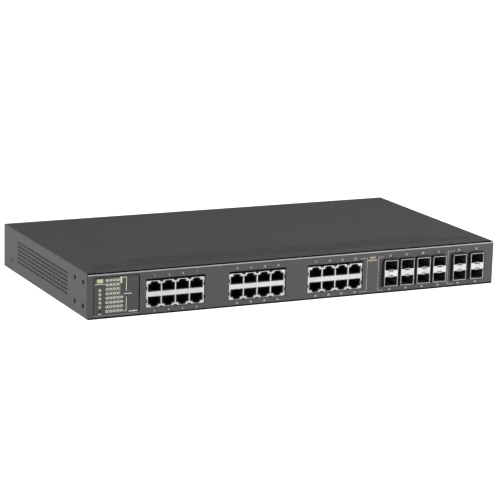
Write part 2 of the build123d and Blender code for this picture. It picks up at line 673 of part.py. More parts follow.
# Fasteners
with BuildPart() as board_standoffs:
    with BuildSketch(Plane.XY.offset(SHEET)):
        with Locations(*MAIN_STANDOFFS, *POWER_STANDOFFS):
            RegularPolygon(STANDOFF_RADIUS, 6)
            Circle(1.25, mode=Mode.SUBTRACT)
    extrude(amount=BOARD_BOTTOM - SHEET)
save(board_standoffs, "board_standoffs")

with BuildPart() as board_screws:
    for x, y in MAIN_STANDOFFS + POWER_STANDOFFS:
        rod_z(x, y, BOARD_TOP, BOARD_TOP + 1.8, 2.8)
        rod_z(x, y, BOARD_TOP - 4.5, BOARD_TOP, 1.2)
    fillet(board_screws.faces().group_by(Axis.Z)[-1].edges(), 0.7)
save(board_screws, "board_screws")

with BuildPart() as cover_screws:
    for side in (-1, 1):
        with Locations((side * (COVER_INSIDE + SHEET / 2 - 0.02), *SIDE_SCREW)):
            Cone(1.6, 2.95, SHEET - 0.04, rotation=(0, side * 90, 0))
        rod_x(side * (COVER_INSIDE + 0.3), side * (COVER_INSIDE - 5), *SIDE_SCREW, 1.45)
        with Locations((side * WIDTH / 2, *SIDE_SCREW)):
            Box(1.2, 3.2, 0.6, mode=Mode.SUBTRACT)
            Box(1.2, 0.6, 3.2, mode=Mode.SUBTRACT)
    for x in LIP_SCREWS:
        rod_y(x, REAR - 6, REAR, LIP_SCREW_Z, 1.5)
        rod_y(x, REAR, REAR + 1.8, LIP_SCREW_Z, 2.8)
        with Locations((x, REAR + 1.8, LIP_SCREW_Z)):
            Box(3.4, 1.6, 0.7, mode=Mode.SUBTRACT)
            Box(0.7, 1.6, 3.4, mode=Mode.SUBTRACT)
save(cover_screws, "cover_screws")

with BuildPart() as panel_screws:
    for x in PANEL_SCREWS:
        with Locations((x, PANEL_SCREW_Y, SHEET / 2)):
            Cone(2.6, 1.4, SHEET - 0.04)
        rod_z(x, PANEL_SCREW_Y, SHEET / 2, 3 * SHEET, 1.25)
        with Locations((x, PANEL_SCREW_Y, 0)):
            Box(2.8, 0.6, 1.0, mode=Mode.SUBTRACT)
            Box(0.6, 2.8, 1.0, mode=Mode.SUBTRACT)
save(panel_screws, "panel_screws")

with BuildPart() as ear_inserts:
    for side in (-1, 1):
        for y, z in ear_places():
            rod_x(side * FAN_FACE, side * WIDTH / 2, y, z, INSERT_RADIUS)
            rod_x(side * (FAN_FACE - 1.5), side * FAN_FACE, y, z, 3.6)
            rod_x(side * (FAN_FACE - 2), side * (WIDTH / 2 + 1), y, z, INSERT_BORE, Mode.SUBTRACT)
save(ear_inserts, "ear_inserts")

with BuildPart() as ground_screw:
    rod_y(EARTH_X, TRAY_REAR, TRAY_REAR + WASHER, EARTH_Z, 4.6)
    rod_y(EARTH_X, TRAY_REAR + WASHER, REAR + EARTH_PROUD, EARTH_Z, 3.8)
    fillet(ground_screw.faces().sort_by(Axis.Y)[-1].edges(), 1.0)
    rod_y(EARTH_X, TRAY_REAR - 9, TRAY_REAR, EARTH_Z, 2.0)
    with BuildSketch(facing_front(TRAY_REAR - SHEET)):
        with Locations((EARTH_X, EARTH_Z)):
            RegularPolygon(4.0, 6)
    extrude(amount=3)
    with Locations((EARTH_X, REAR + EARTH_PROUD, EARTH_Z)):
        Box(4.6, 2.4, 0.9, mode=Mode.SUBTRACT)
        Box(0.9, 2.4, 4.6, mode=Mode.SUBTRACT)
save(ground_screw, "ground_screw")

# Serial management jack in the rear wall
with BuildPart() as console_jack:
    jack_rear = TRAY_REAR + 0.4
    block(CONSOLE_X - 8, CONSOLE_X + 8, jack_rear - 17, jack_rear, BOARD_TOP, BOARD_TOP + 13.6)
    with BuildSketch(facing_front(jack_rear)):
        jack_mouth(CONSOLE_X, BOARD_TOP - 0.6, 1)
    extrude(amount=13, mode=Mode.SUBTRACT)
save(console_jack, "console_jack")


def fan_frame(centre_y, name):
    """Square fan frame with a round duct, four struts and the motor's seat."""
    inlet = FAN_FACE - FAN_DEPTH
    with BuildPart() as frame:
        with BuildSketch(Plane.YZ.offset(inlet)) as ring:
            with Locations((centre_y, FAN_Z)):
                RectangleRounded(FAN_SIZE, FAN_SIZE, 3)
                Circle(FAN_BORE, mode=Mode.SUBTRACT)
                with GridLocations(FAN_HOLES, FAN_HOLES, 2, 2):
                    Circle(2.1, mode=Mode.SUBTRACT)
        extrude(ring.sketch, amount=FAN_DEPTH)
        with BuildSketch(Plane.YZ.offset(FAN_FACE - 3)) as seat:
            with Locations((centre_y, FAN_Z)):
                Circle(11)
                Rectangle(2 * FAN_BORE + 1, 2.4)
                Rectangle(2.4, 2 * FAN_BORE + 1)
                Circle(1.05, mode=Mode.SUBTRACT)
        extrude(seat.sketch, amount=3)
    save(frame, name)


def fan_rotor(centre_y, name):
    """Hub with pitched blades and a thin shaft that runs in the motor's seat."""
    hub_start, hub_length = FAN_FACE - FAN_DEPTH + 1, 15.4
    with BuildPart() as rotor:
        with Locations(Plane((hub_start + 8, centre_y, FAN_Z), z_dir=(1, 0, 0))):
            with PolarLocations(14, BLADES):
                Box(9.5, 1.1, 13, rotation=(38, 0, 0))
        rod_x(hub_start - 1, hub_start + 16, centre_y, FAN_Z, FAN_BORE - 0.8, Mode.INTERSECT)
        rod_x(hub_start, hub_start + hub_length, centre_y, FAN_Z, 10.5)
        fillet(rotor.faces().sort_by(Axis.X)[0].edges(), 1.2)
        rod_x(hub_start + hub_length, FAN_FACE - 0.4, centre_y, FAN_Z, 1.0)
    save(rotor, name)


for number, centre_y in enumerate(FANS, 1):
    fan_frame(centre_y, f"fan_frame_{number}")
    fan_rotor(centre_y, f"fan_rotor_{number}")

with BuildPart() as fan_screws:
    with BuildSketch(Plane.YZ.offset(TRAY_HALF - 0.05)):
        with Locations(*[(y, FAN_Z) for y in FANS]):
            with GridLocations(FAN_HOLES, FAN_HOLES, 2, 2):
                Circle(2.0)
    extrude(amount=-9)
save(fan_screws, "fan_screws")
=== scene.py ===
import math

import bmesh
import bpy
from mathutils import Matrix, Quaternion, Vector


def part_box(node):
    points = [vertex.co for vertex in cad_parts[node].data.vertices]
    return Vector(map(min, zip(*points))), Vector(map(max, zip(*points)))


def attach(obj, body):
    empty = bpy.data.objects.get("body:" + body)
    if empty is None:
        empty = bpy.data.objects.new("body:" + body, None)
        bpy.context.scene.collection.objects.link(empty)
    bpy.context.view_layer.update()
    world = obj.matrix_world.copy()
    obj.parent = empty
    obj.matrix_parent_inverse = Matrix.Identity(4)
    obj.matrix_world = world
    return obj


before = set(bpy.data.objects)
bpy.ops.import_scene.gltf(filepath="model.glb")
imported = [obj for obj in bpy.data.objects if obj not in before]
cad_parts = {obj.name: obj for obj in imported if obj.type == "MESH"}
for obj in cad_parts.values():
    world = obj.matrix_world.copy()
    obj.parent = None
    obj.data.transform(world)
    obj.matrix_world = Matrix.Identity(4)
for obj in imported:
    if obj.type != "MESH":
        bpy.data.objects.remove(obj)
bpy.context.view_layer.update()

# Finishes, printing, latch tabs and studio of a one-unit rackmount network switch. Metres throughout.

MM = 0.001
CHASSIS = "chassis"

# Places read from the frame
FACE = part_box("front_panel")[0].y
PANEL_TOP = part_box("front_panel")[1].z
FILM_LOW, FILM_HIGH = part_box("status_label")
FILM_FACE = FILM_LOW.y
SHIELDS = [f"rj45_shield_{number}" for number in (1, 2, 3)]
SFP_CAGES = [f"sfp_cage_{number}" for number in (1, 2, 3, 4)]
PLUS_CAGES = [f"sfp_plus_cage_{number}" for number in (1, 2)]
CAGE_LOW, CAGE_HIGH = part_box("sfp_cage_1")
SHIELD_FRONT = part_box("rj45_shield_1")[0].y

# Columns of jacks, measured from the middle of a block
JACK_PITCH = 14.45 * MM
JACK_COLUMNS = [(column - 1.5) * JACK_PITCH for column in range(4)]

# Printing: how far ink stands out, the width of a line, and the heights and size of the port numbers
INK = 0.03 * MM
LINE = 0.42 * MM
NUMBER_HIGH, NUMBER_LOW = 37.4 * MM, 3.5 * MM
NUMBER_SIZE = 2.6 * MM
# Spacing of a number's digits, steps in their curves, and sides of a printed ring
NUMERAL_SPACING, NUMERAL_STEPS = 1.1, 3
RING_SIDES = 20

# Printed brackets: top, foot, break in the upright and half length of the tick in the break
BRACKET_TOP, BRACKET_FOOT = 37.2 * MM, 3.1 * MM
BRACKET_BREAK = (18 * MM, 22 * MM)
BRACKET_TICK = 1.2 * MM
# Each bracket's distance from the block beside it, and its arms
JACK_BRACKET = (5.1 * MM, -7.5 * MM)
CAGE_BRACKET = (-5.9 * MM, 6 * MM)
PLUS_BRACKET = (-5.2 * MM, 7.5 * MM)

# Lights behind the status label: left column, lowest row, pitch
PORT_LIGHTS, PORT_LIGHT_PITCH = (-201.0 * MM, 6.8 * MM), (3.7 * MM, 4.23 * MM)
SYSTEM_LIGHTS, SYSTEM_LIGHT_PITCH = (-208.0 * MM, 11.3 * MM), 4.05 * MM
# Full columns of port lights, their rows, the rows of the short column beside them, and the rows of system lights
FULL_COLUMNS, ROWS, SHORT_ROWS, SYSTEM_ROWS = 4, 8, 4, 5
# Radii of the ring printed round each light
RING_OUTER, RING_INNER = 1.22 * MM, 0.78 * MM

# Bars printed on the label, each as left, right, foot and top in millimetres
LABEL_BARS = [
    (-209.6, -206.4, 4.3, 4.8),  # under the reset hole
    (-213.2, -202.8, 33.1, 33.5),  # under the green bar
    (-181.71, -181.29, 25.2, 38.6),  # bracket: upper half of the upright
    (-181.71, -181.29, 5.6, 19.4),  # bracket: lower half of the upright
    (-185.5, -181.5, 38.2, 38.6),  # bracket: upper arm
    (-183.9, -181.5, 5.6, 6.0),  # bracket: lower arm
    (-184.0, -176.2, 22.2, 22.7),  # tick in the bracket's break
    (-178.6, -177.0, 4.9, 5.7),  # plain bars in place of the name
    (-176.6, -174.6, 4.9, 5.7),
    (-174.2, -172.6, 4.9, 5.7),
    (-172.2, -170.4, 4.9, 5.7),
]
LABEL_PANELS = [(-211.0, -205.0, 34.5, 38.0), (-187.7, -185.6, 33.0, 39.0)]
# Tint beside a column of lights: distance from the column, width, foot and top
TINT_START, TINT_WIDTH, TINT_FOOT, TINT_TOP = 1.3 * MM, 1.1 * MM, 4.8 * MM, 38.4 * MM
LIGHT_NUMBER_SIZE, LIGHT_NUMBER_SHIFT = 1.5 * MM, 1.85 * MM

# Plain bars between two brackets: how far they start from the last block of jacks, and then each
# as left, right, foot and top in millimetres
NAME_BARS_START = 6 * MM
NAME_BARS = [(1.9, 8.2, 36.4, 37.9), (0, 10, 33.8, 35.0)]

# Latch tabs of the cages: foot and top of the upper and the lower one, half width, front and back
TAB_HEIGHTS = ((23.45 * MM, 23.95 * MM), (16.4 * MM, 16.85 * MM))
TAB_HALF_WIDTH, TAB_FRONT, TAB_BACK = 2.5 * MM, 0.05 * MM, 6 * MM


def middle(name):
    """The middle of a CAD node's box."""
    low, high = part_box(name)
    return (low + high) / 2


# ---------------------------------------------------------------- finishes

def new_finish(name):
    """An empty finish: the material, its node tree and its main shader."""
    material = bpy.data.materials.new(name)
    material.use_nodes = True
    tree = material.node_tree
    return material, tree, tree.nodes["Principled BSDF"]


def grain(tree, size, detail=2.0, stretch=(1.0, 1.0, 1.0)):
    """Noise of a given feature size in metres, drawn out along any axis whose stretch is under one."""
    coordinates = tree.nodes.new("ShaderNodeTexCoord")
    mapping = tree.nodes.new("ShaderNodeMapping")
    noise = tree.nodes.new("ShaderNodeTexNoise")
    mapping.inputs["Scale"].default_value = [axis / size for axis in stretch]
    noise.inputs["Scale"].default_value = 1.0
    noise.inputs["Detail"].default_value = detail
    tree.links.new(coordinates.outputs["Object"], mapping.inputs["Vector"])
    tree.links.new(mapping.outputs["Vector"], noise.inputs["Vector"])
    return noise.outputs["Fac"]


def ranged(tree, factor, low, high, start=0.3, end=0.7):
    """Turns a factor between start and end into a value between low and high."""
    node = tree.nodes.new("ShaderNodeMapRange")
    for socket, value in zip(("From Min", "From Max", "To Min", "To Max"), (start, end, low, high)):
        node.inputs[socket].default_value = value
    tree.links.new(factor, node.inputs["Value"])
    return node.outputs["Result"]


def two_tone(tree, factor, first, second, start=0.3, end=0.7):
    """Blends two colours by a factor."""
    node = tree.nodes.new("ShaderNodeValToRGB")
    node.color_ramp.elements[0].position = start
    node.color_ramp.elements[1].position = end
    node.color_ramp.elements[0].color = (*first, 1)
    node.color_ramp.elements[1].color = (*second, 1)
    tree.links.new(factor, node.inputs["Fac"])
    return node.outputs["Color"]


def relief(tree, shader, height, depth, strength=1.0):
    """Bump of a given depth in metres from a height factor."""
    node = tree.nodes.new("ShaderNodeBump")
    node.inputs["Strength"].default_value = strength
    node.inputs["Distance"].default_value = depth
    tree.links.new(height, node.inputs["Height"])
    tree.links.new(node.outputs["Normal"], shader.inputs["Normal"])


def within(tree, axis, low, high):
    """One where a coordinate of the object lies between two values, and zero elsewhere."""
    coordinates = tree.nodes.new("ShaderNodeTexCoord")
    axes = tree.nodes.new("ShaderNodeSeparateXYZ")
    test = tree.nodes.new("ShaderNodeMath")
    test.operation = "COMPARE"
    test.inputs[1].default_value = (low + high) / 2
    test.inputs[2].default_value = (high - low) / 2
    tree.links.new(coordinates.outputs["Object"], axes.inputs["Vector"])
    tree.links.new(axes.outputs[axis], test.inputs[0])
    return test.outputs["Value"]


def joined(tree, first, second, operation):
    """Two masks combined."""
    node = tree.nodes.new("ShaderNodeMath")
    node.operation = operation
    tree.links.new(first, node.inputs[0])
    tree.links.new(second, node.inputs[1])
    return node.outputs["Value"]


def lay_over(tree, tone, patches):
    """Lays patches over a tone. Each is a colour and the ranges of X, Y or Z that bound it.

    Returns the new tone and the mask of all the patches.
    """
    covered = None
    for colour, ranges in patches:
        mask = within(tree, *ranges[0])
        for bounds in ranges[1:]:
            mask = joined(tree, mask, within(tree, *bounds), "MULTIPLY")
        mix = tree.nodes.new("ShaderNodeMix")
        mix.data_type = "RGBA"
        patch = two_tone(tree, grain(tree, 0.7 * MM, 2.0), *tones(colour, 0.18))
        tree.links.new(mask, mix.inputs["Factor"])
        tree.links.new(tone, mix.inputs["A"])
        tree.links.new(patch, mix.inputs["B"])
        tone = mix.outputs["Result"]
        covered = mask if covered is None else joined(tree, covered, mask, "MAXIMUM")
    return tone, covered


def tones(colour, spread):
    """A darker and a lighter version of a colour."""
    return [c * (1 - spread) for c in colour], [min(1.0, c * (1 + spread)) for c in colour]


def powder_coat(name, colour, patches=()):
    """Satin powder coat with fine orange peel. The patches are strips of shade or highlight, with no sheen."""
    material, tree, shader = new_finish(name)
    paint = two_tone(tree, grain(tree, 1.1 * MM, 3.0), *tones(colour, 0.05))
    paint, covered = lay_over(tree, paint, patches)
    tree.links.new(paint, shader.inputs["Base Color"])
    tree.links.new(ranged(tree, grain(tree, 30 * MM, 2.0), 0.60, 0.66), shader.inputs["Roughness"])
    if covered is not None:
        tree.links.new(ranged(tree, covered, SHEEN, 0.0, 0.0, 1.0), shader.inputs["Specular IOR Level"])
    relief(tree, shader, grain(tree, 0.45 * MM, 1.0), 0.012 * MM, 0.6)
    return material


def plated_sheet(name, colour, roughness=0.34, patches=()):
    """Tin-plated stamped sheet with a soft rolling grain. The patches are strips of shade."""
    material, tree, shader = new_finish(name)
    along = (1.0, 1.0, 0.12)
    tone = two_tone(tree, grain(tree, 0.8 * MM, 3.0, along), *tones(colour, 0.07))
    tone = lay_over(tree, tone, patches)[0]
    tree.links.new(tone, shader.inputs["Base Color"])
    tree.links.new(ranged(tree, grain(tree, 2 * MM, 2.0, along), roughness - 0.06, roughness + 0.08),
                   shader.inputs["Roughness"])
    shader.inputs["Metallic"].default_value = 0.75
    relief(tree, shader, grain(tree, 0.25 * MM, 2.0, along), 0.004 * MM, 0.5)
    return material


def moulding(name, colour, roughness=0.5, spread=0.12, size=0.3 * MM):
    """Moulded plastic or rubber with a fine spark-eroded grain."""
    material, tree, shader = new_finish(name)
    tone = two_tone(tree, grain(tree, 1.5 * MM, 2.0), *tones(colour, spread))
    tree.links.new(tone, shader.inputs["Base Color"])
    tree.links.new(ranged(tree, grain(tree, 3 * MM, 1.0), roughness - 0.05, roughness + 0.06),
                   shader.inputs["Roughness"])
    relief(tree, shader, grain(tree, size, 1.0), 0.01 * MM, 0.6)
    return material


def clear_moulding(name, colour):
    """Clear light pipe, a little frosted."""
    material, tree, shader = new_finish(name)
    tone = two_tone(tree, grain(tree, 1 * MM, 1.0), *tones(colour, 0.04))
    tree.links.new(tone, shader.inputs["Base Color"])
    tree.links.new(ranged(tree, grain(tree, 0.6 * MM, 1.0), 0.18, 0.3), shader.inputs["Roughness"])
    shader.inputs["Transmission Weight"].default_value = 0.35
    return material


def solder_mask(name, mask, trace):
    """Circuit board: lacquer over a brick pattern of thin lines that stands in for copper traces."""
    material, tree, shader = new_finish(name)
    coordinates = tree.nodes.new("ShaderNodeTexCoord")
    mapping = tree.nodes.new("ShaderNodeMapping")
    mapping.inputs["Scale"].default_value = [1 / TRACE_PITCH] * 3
    brick = tree.nodes.new("ShaderNodeTexBrick")
    brick.offset = 0.37
    brick.inputs["Color1"].default_value = (*mask, 1)
    brick.inputs["Color2"].default_value = (*[c * 0.82 for c in mask], 1)
    brick.inputs["Mortar"].default_value = (*trace, 1)
    brick.inputs["Mortar Size"].default_value = 0.035
    brick.inputs["Scale"].default_value = 1.0
    tree.links.new(coordinates.outputs["Object"], mapping.inputs["Vector"])
    tree.links.new(mapping.outputs["Vector"], brick.inputs["Vector"])
    tree.links.new(brick.outputs["Color"], shader.inputs["Base Color"])
    tree.links.new(ranged(tree, grain(tree, 4 * MM, 1.0), 0.3, 0.42), shader.inputs["Roughness"])
    relief(tree, shader, brick.outputs["Fac"], 0.03 * MM, 0.4)
    return material


def printed_ink(name, colour):
    """Screen-printed ink, slightly uneven in cover."""
    material, tree, shader = new_finish(name)
    tone = two_tone(tree, grain(tree, 0.35 * MM, 2.0), *tones(colour, 0.1))
    tree.links.new(tone, shader.inputs["Base Color"])
    tree.links.new(ranged(tree, grain(tree, 1 * MM, 1.0), 0.45, 0.6), shader.inputs["Roughness"])
    return material


def bare_metal(name, colour, roughness, size=0.5 * MM):
    """Plated or machined metal with a fine even grain."""
    material, tree, shader = new_finish(name)
    tone = two_tone(tree, grain(tree, size, 2.0), *tones(colour, 0.08))
    tree.links.new(tone, shader.inputs["Base Color"])
    tree.links.new(ranged(tree, grain(tree, 2 * size, 2.0), roughness - 0.06, roughness + 0.08),
                   shader.inputs["Roughness"])
    shader.inputs["Metallic"].default_value = 1.0
    return material


# Specular level of the paint, pitch of the board's lines, and base tones
SHEEN = 0.12
TRACE_PITCH = 9 * MM
PAINT = (0.088, 0.086, 0.090)
PANEL_PAINT = (0.088, 0.086, 0.089)

# Tones of the strips of shade and highlight
# Painted shade: near black, on the seams, the panel's foot, the sides of the label's pocket and the front edges
# of the cover and the tray
PAINTED_SHADE = (0.006, 0.006, 0.006)
# Painted highlight along the panel's rounded top fold
FOLD_HIGHLIGHT = (0.45, 0.45, 0.455)
# Painted highlight along the foot of the label's pocket
POCKET_HIGHLIGHT = (0.24, 0.24, 0.245)
UNLIT = (0.020, 0.020, 0.020)
CAGE_SHADE = (0.22, 0.22, 0.215)

# Sizes of the strips: first, how far a strip runs past the face that it covers
PAST = 0.1 * MM
SKIN = 0.9 * MM
# How far the painted shade runs back from a sheet's front edge
SHADED_FRONT_DEPTH = 1.2 * MM
FOLD_HEIGHT, FOLD_DEPTH = 0.85 * MM, 0.7 * MM
GAP_HEIGHT, GAP_BACK = 0.2 * MM, 3 * MM
FOOT_HEIGHT = 1.5 * MM
SHADE_WIDTH, SHADE_WIDTH_RIGHT = 0.8 * MM, 0.7 * MM
SHADE_FOOT, SHADE_OVERLAP = 0.8 * MM, 0.2 * MM
LIGHT_HEIGHT = 0.6 * MM
CAGE_RIM, CAGE_LIT_DEPTH, TAB_LIT_DEPTH = 0.25 * MM, 0.9 * MM, 0.5 * MM
SHIELD_SHADE = (0.28 * MM, 6 * MM)

NEAR_FACE = ("Y", FACE - PAST, FACE + SKIN)
BESIDE_FILM = ("Z", FILM_LOW.z + SHADE_FOOT, FILM_HIGH.z)
# Painted highlight on the panel's rounded top fold
PANEL_FOLD = [("Z", PANEL_TOP - FOLD_HEIGHT, PANEL_TOP + PAST), ("Y", FACE - PAST, FACE + FOLD_DEPTH)]
# Painted shade in the gap behind the panel's top fold, and along the panel's foot
PANEL_GAP = [("Z", PANEL_TOP - GAP_HEIGHT, PANEL_TOP + PAST), ("Y", FACE + FOLD_DEPTH, FACE + GAP_BACK)]
PANEL_FOOT = [("Z", 0.0, FOOT_HEIGHT), NEAR_FACE]
POCKET_SHADE = [
    [("X", FILM_LOW.x - SHADE_WIDTH, FILM_LOW.x + PAST), BESIDE_FILM, NEAR_FACE],
    [("X", FILM_HIGH.x, FILM_HIGH.x + SHADE_WIDTH_RIGHT), BESIDE_FILM, NEAR_FACE],
    [
        ("X", FILM_LOW.x - SHADE_OVERLAP, FILM_HIGH.x + SHADE_OVERLAP),
        ("Z", FILM_HIGH.z, FILM_HIGH.z + SHADE_WIDTH),
        NEAR_FACE,
    ],
]
# Painted highlight along the foot of the label's pocket
POCKET_LIGHT = [("X", FILM_LOW.x, FILM_HIGH.x), ("Z", FILM_LOW.z - LIGHT_HEIGHT, FILM_LOW.z), NEAR_FACE]
CAGE_INSIDE = [
    ("Z", CAGE_LOW.z + CAGE_RIM, CAGE_HIGH.z - CAGE_RIM),
    ("Y", CAGE_LOW.y + CAGE_LIT_DEPTH, CAGE_HIGH.y),
]
TAB_INSIDE = [("Y", CAGE_LOW.y + TAB_LIT_DEPTH, CAGE_HIGH.y)]
BEHIND_SHIELD_FACE = [("Y", SHIELD_FRONT + SHIELD_SHADE[0], SHIELD_FRONT + SHIELD_SHADE[1])]
# The panel's painted shade and painted highlight: dark foot, light top fold, dark gap behind the fold, light foot
# of the label's pocket and dark sides of the pocket
PANEL_PATCHES = [
    (PAINTED_SHADE, PANEL_FOOT),
    (FOLD_HIGHLIGHT, PANEL_FOLD),
    (PAINTED_SHADE, PANEL_GAP),
    (POCKET_HIGHLIGHT, POCKET_LIGHT),
    *[(PAINTED_SHADE, shade) for shade in POCKET_SHADE],
]


def cut_front(name):
    """The front edge of a sheet and a narrow strip behind it, which lie in shade beside the panel and get painted
    shade.
    """
    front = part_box(name)[0].y
    return [("Y", front - PAST, front + SHADED_FRONT_DEPTH)]


FINISHES = {
    # The cover and the tray get a strip of painted shade along their front edges
    powder_coat("cover_powder_coat", PAINT, [(PAINTED_SHADE, cut_front("top_cover"))]): ["top_cover"],
    powder_coat("tray_powder_coat", PAINT, [(PAINTED_SHADE, cut_front("chassis_base"))]): ["chassis_base"],
    powder_coat("panel_powder_coat", PANEL_PAINT, PANEL_PATCHES): ["front_panel"],
    moulding("label_film", (0.047, 0.045, 0.045), 0.6, 0.06, 0.2 * MM): ["status_label"],
    clear_moulding("clear_light_pipe", (0.10, 0.10, 0.095)): ["port_light_pipes", "system_light_pipes"],
    solder_mask("green_solder_mask", (0.010, 0.085, 0.028), (0.03, 0.16, 0.05)): ["main_board", "led_board"],
    solder_mask("tan_laminate", (0.30, 0.19, 0.075), (0.42, 0.22, 0.08)): ["power_board"],
    moulding("light_chip_body", (0.78, 0.74, 0.58), 0.35): ["status_leds"],
    moulding("switch_body_plastic", (0.02, 0.02, 0.021), 0.45): ["reset_switch"],
    moulding("reset_plunger_plastic", (0.03, 0.03, 0.03), 0.35): ["reset_button"],
    plated_sheet("jack_shield_tinplate", (0.64, 0.64, 0.63), 0.34, [(UNLIT, BEHIND_SHIELD_FACE)]):
        SHIELDS + ["console_jack"],
    plated_sheet("cage_tinplate", (0.66, 0.66, 0.65), 0.3, [(CAGE_SHADE, CAGE_INSIDE)]):
        SFP_CAGES + PLUS_CAGES,
    moulding("jack_body_plastic", (0.013, 0.013, 0.014), 0.4): [f"rj45_housing_{n}" for n in (1, 2, 3)],
    bare_metal("gold_plated_wire", (0.34, 0.25, 0.11), 0.25): ["rj45_contacts"],
    moulding("connector_plastic", (0.012, 0.012, 0.013), 0.45):
        [f"sfp_connector_{n}" for n in (1, 2, 3, 4)] + [f"sfp_plus_connector_{n}" for n in (1, 2)],
    moulding("gasket_rubber", (0.006, 0.006, 0.006), 0.75): ["cage_gaskets"],
    moulding("chip_package", (0.018, 0.018, 0.020), 0.4): ["switch_chip", "phy_chips", "memory_chips"],
    bare_metal("extruded_aluminium", (0.62, 0.63, 0.64), 0.38):
        ["switch_heatsink", "phy_heatsinks", "power_heatsinks"],
    moulding("ferrite_and_tape", (0.055, 0.052, 0.05), 0.55): ["board_inductors"],
    moulding("yellow_winding_tape", (0.62, 0.45, 0.06), 0.35): ["power_transformer"],
    moulding("capacitor_sleeve", (0.015, 0.018, 0.035), 0.25):
        ["board_capacitors", "output_capacitors", "bulk_capacitor"],
    moulding("insulator_sheet", (0.02, 0.02, 0.02), 0.3): ["power_insulator"],
    moulding("inlet_plastic", (0.014, 0.014, 0.014), 0.38): ["power_inlet"],
    bare_metal("nickel_plate", (0.72, 0.69, 0.64), 0.22): ["inlet_pins"],
    moulding("lead_insulation", (0.03, 0.03, 0.032), 0.4): ["inlet_leads", "output_harness"],
    bare_metal("zinc_plate", (0.55, 0.55, 0.53), 0.32):
        ["board_standoffs", "board_screws", "ground_screw", "fan_screws"],
    bare_metal("blackened_insert_steel", (0.035, 0.035, 0.037), 0.36): ["ear_inserts"],
    bare_metal("black_screw_plate", (0.14, 0.14, 0.145), 0.4): ["cover_screws", "panel_screws"],
    moulding("fan_plastic", (0.012, 0.012, 0.013), 0.42):
        ["fan_frame_1", "fan_frame_2", "fan_rotor_1", "fan_rotor_2"],
}


def paint_nodes():
    """Gives every CAD node its finish."""
    for material, names in FINISHES.items():
        for name in names:
            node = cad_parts[name]
            if not node.material_slots:
                node.data.materials.append(material)
            for place in node.material_slots:
                place.material = material


# ---------------------------------------------------------------- new pieces

def from_bmesh(name, shape, material, body=CHASSIS):
    """Turns a bmesh into a named piece that rides on a body."""
    mesh = bpy.data.meshes.new(name)
    shape.to_mesh(mesh)
    shape.free()
    mesh.materials.append(material)
    piece = bpy.data.objects.new(name, mesh)
    bpy.context.scene.collection.objects.link(piece)
    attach(piece, body)


def bar(shape, low, high):
    """Adds a box between two corners to a bmesh."""
    low, high = Vector(low), Vector(high)
    place = Matrix.Translation((low + high) / 2) @ Matrix.Diagonal((*(high - low), 1))
    bmesh.ops.create_cube(shape, size=1.0, matrix=place)


def print_bar(shape, x0, x1, z0, z1, face):
    """Adds a printed bar on a face that looks to the front."""
    bar(shape, (min(x0, x1), face - INK, min(z0, z1)), (max(x0, x1), face + INK, max(z0, z1)))


def print_ring(shape, x, z, face, outer, inner):
    """Adds a printed ring on a face that looks to the front: a disc, inset, opened and given a thickness."""
    place = Matrix.Translation((x, face, z)) @ Matrix.Rotation(math.radians(90), 4, "X")
    disc = bmesh.ops.create_circle(shape, cap_ends=True, segments=RING_SIDES, radius=outer, matrix=place)
    inside = list({f for v in disc["verts"] for f in v.link_faces})
    band = bmesh.ops.inset_region(shape, faces=inside, thickness=outer - inner, use_boundary=True)
    bmesh.ops.delete(shape, geom=[f for f in inside if f.is_valid], context="FACES")
    wall = bmesh.ops.extrude_face_region(shape, geom=band["faces"])["geom"]
    raised = [v for v in wall if isinstance(v, bmesh.types.BMVert)]
    bmesh.ops.translate(shape, verts=raised, vec=(0, -INK, 0))


def print_bars(shape, bars, face, left=0.0):
    """Adds printed bars, given in millimetres, measured across from a left line."""
    for x0, x1, z0, z1 in bars:
        print_bar(shape, left + x0 * MM, left + x1 * MM, z0 * MM, z1 * MM, face)


def print_numeral(shape, value, x, z, face, size):
    """Adds a printed number, centred on x and z, on a face that looks to the front."""
    curve = bpy.data.curves.new("numeral", "FONT")
    curve.body = str(value)
    curve.size = size
    curve.extrude = INK / 2
    curve.resolution_u = NUMERAL_STEPS
    curve.align_x = "CENTER"
    curve.align_y = "CENTER"
    curve.space_character = NUMERAL_SPACING
    text = bpy.data.objects.new("numeral", curve)
    mesh = bpy.data.meshes.new_from_object(text)
    mesh.transform(Matrix.Translation((x, face - INK / 2, z)) @ Matrix.Rotation(math.radians(90), 4, "X"))
    shape.from_mesh(mesh)
    bpy.data.objects.remove(text)
    bpy.data.curves.remove(curve)
    bpy.data.meshes.remove(mesh)


def bracket(shape, side, distance, arm):
    """Adds a printed bracket beside a block: an upright, broken by a short tick, with an arm at each end."""
    x, half = side + distance, LINE / 2
    low, high = BRACKET_BREAK
    tick = (low + high) / 2
    print_bar(shape, x - half, x + half, high, BRACKET_TOP, FACE)
    print_bar(shape, x - half, x + half, BRACKET_FOOT, low, FACE)
    print_bar(shape, x, x + arm, BRACKET_TOP - LINE, BRACKET_TOP, FACE)
    print_bar(shape, x, x + arm, BRACKET_FOOT, BRACKET_FOOT + LINE, FACE)
    print_bar(shape, x - BRACKET_TICK, x + BRACKET_TICK, tick - half, tick + half, FACE)


WHITE_INK = printed_ink("white_ink", (0.86, 0.86, 0.84))
GREEN_INK = printed_ink("pale_green_ink", (0.52, 0.58, 0.32))
TAN_INK = printed_ink("tan_ink", (0.40, 0.36, 0.24))
OLIVE_INK = printed_ink("olive_ink", (0.17, 0.16, 0.11))
RING_INK = printed_ink("warm_white_ink", (0.92, 0.91, 0.82))
GREY_INK = printed_ink("pale_grey_ink", (0.42, 0.42, 0.41))
TAB_STEEL = plated_sheet("latch_tab_tinplate", (0.72, 0.72, 0.71), 0.3, [(UNLIT, TAB_INSIDE)])


